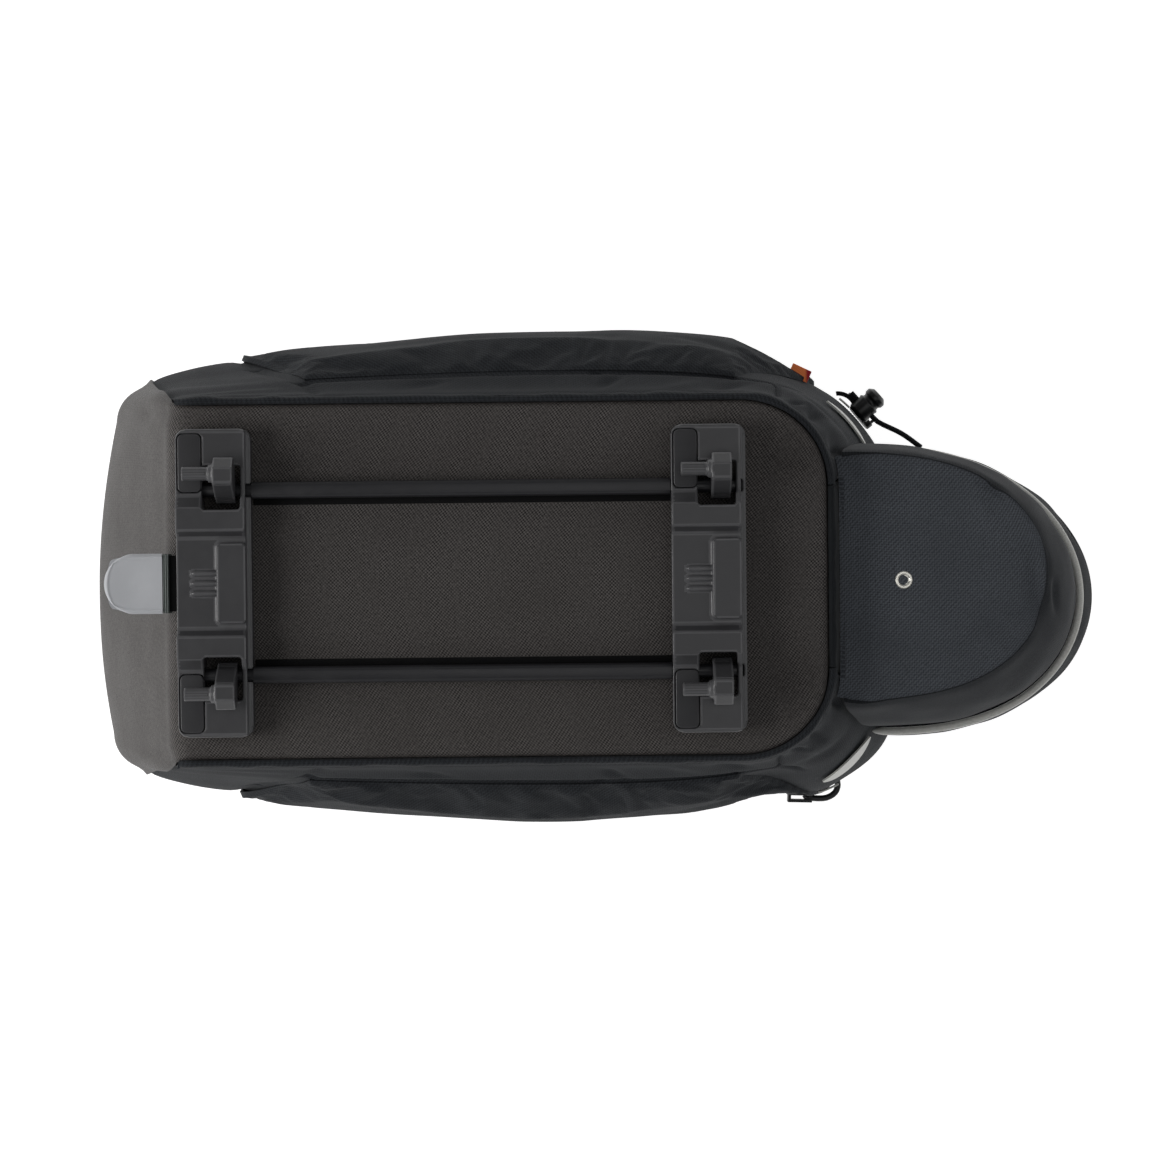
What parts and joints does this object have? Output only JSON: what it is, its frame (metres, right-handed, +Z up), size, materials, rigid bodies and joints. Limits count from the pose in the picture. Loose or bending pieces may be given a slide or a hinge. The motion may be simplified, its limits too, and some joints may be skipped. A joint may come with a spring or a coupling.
{
  "type": "bicycle trunk bag with a clip-on rack adapter",
  "caption": "Bicycle trunk bag lying on its lid, its coated base up, with side pockets, a bottle pocket at the tail and a rack adapter with sprung hooks.",
  "frame": {"origin": "centre of the bounding box on the floor, under the lid that the bag lies on", "axes": "+X to the bag's tail, +Y to its left side, +Z up, out of its base: the bag is upside down"},
  "size_m": [0.4209, 0.2014, 0.2249],
  "materials": {
    "coated": "coated fabric with a fine embossed diamond grain",
    "cloth": "matte polyester with a fine diagonal weave",
    "smooth": "plain smooth nylon",
    "reflective": "grey reflective film on cloth",
    "zip": "black moulded plastic",
    "label": "woven satin",
    "nickel": "polished nickel plate",
    "plastic": "satin moulded plastic",
    "shaft": "satin extruded plastic",
    "rubber": "matte moulded rubber",
    "tab": "grey satin plastic"
  },
  "bodies": {
    "root": {"base_panel": "coated", "left_side_wall": "cloth", "right_side_wall": "cloth", "rear_wall": "smooth", "left_side_pocket": "cloth", "right_side_pocket": "cloth", "left_reflective_strip": "reflective", "right_reflective_strip": "reflective", "main_zip": "zip", "lid_hinge": "cloth", "lid": "cloth", "tail_bottom": "cloth", "tail_lower_band": "cloth", "tail_piping": "reflective", "tail_upper_band": "cloth", "tail_hem": "smooth", "drain_eyelet": "nickel", "front_bracket": "plastic", "rear_bracket": "plastic", "left_zip_slider": "zip", "left_zip_pull": "zip", "right_zip_slider": "zip", "right_zip_pull": "zip", "cord_lock": "zip", "pocket_drawcord": "zip", "side_label": "label", "front_left_pad": "rubber", "front_right_pad": "rubber", "rear_left_pad": "rubber", "rear_right_pad": "rubber"},
    "release_tab": {"release_tab": "tab"},
    "left_shaft": {"left_shaft": "shaft", "front_left_hook": "plastic", "rear_left_hook": "plastic"},
    "right_shaft": {"right_shaft": "shaft", "front_right_hook": "plastic", "rear_right_hook": "plastic"}
  },
  "joints": [
    {"name": "release_pull", "type": "slide", "parent": "root", "child": "release_tab", "axis": [-1, 0, 0], "range_m": [0, 0.008], "stiffness_N_per_m": 300},
    {"name": "left_hook_swing", "type": "hinge", "parent": "root", "child": "left_shaft", "pos_m": [-0.05, 0.036, 0.2066], "axis": [1, 0, 0], "range_deg": [0, 35]},
    {"name": "right_hook_swing", "type": "hinge", "parent": "root", "child": "right_shaft", "pos_m": [-0.05, -0.036, 0.2066], "axis": [-1, 0, 0], "range_deg": [0, 35]}
  ],
  "couplings": [
    {"joint": "left_hook_swing", "follows": "release_pull", "rad_per_m": 76.3},
    {"joint": "right_hook_swing", "follows": "release_pull", "rad_per_m": 76.3}
  ]
}
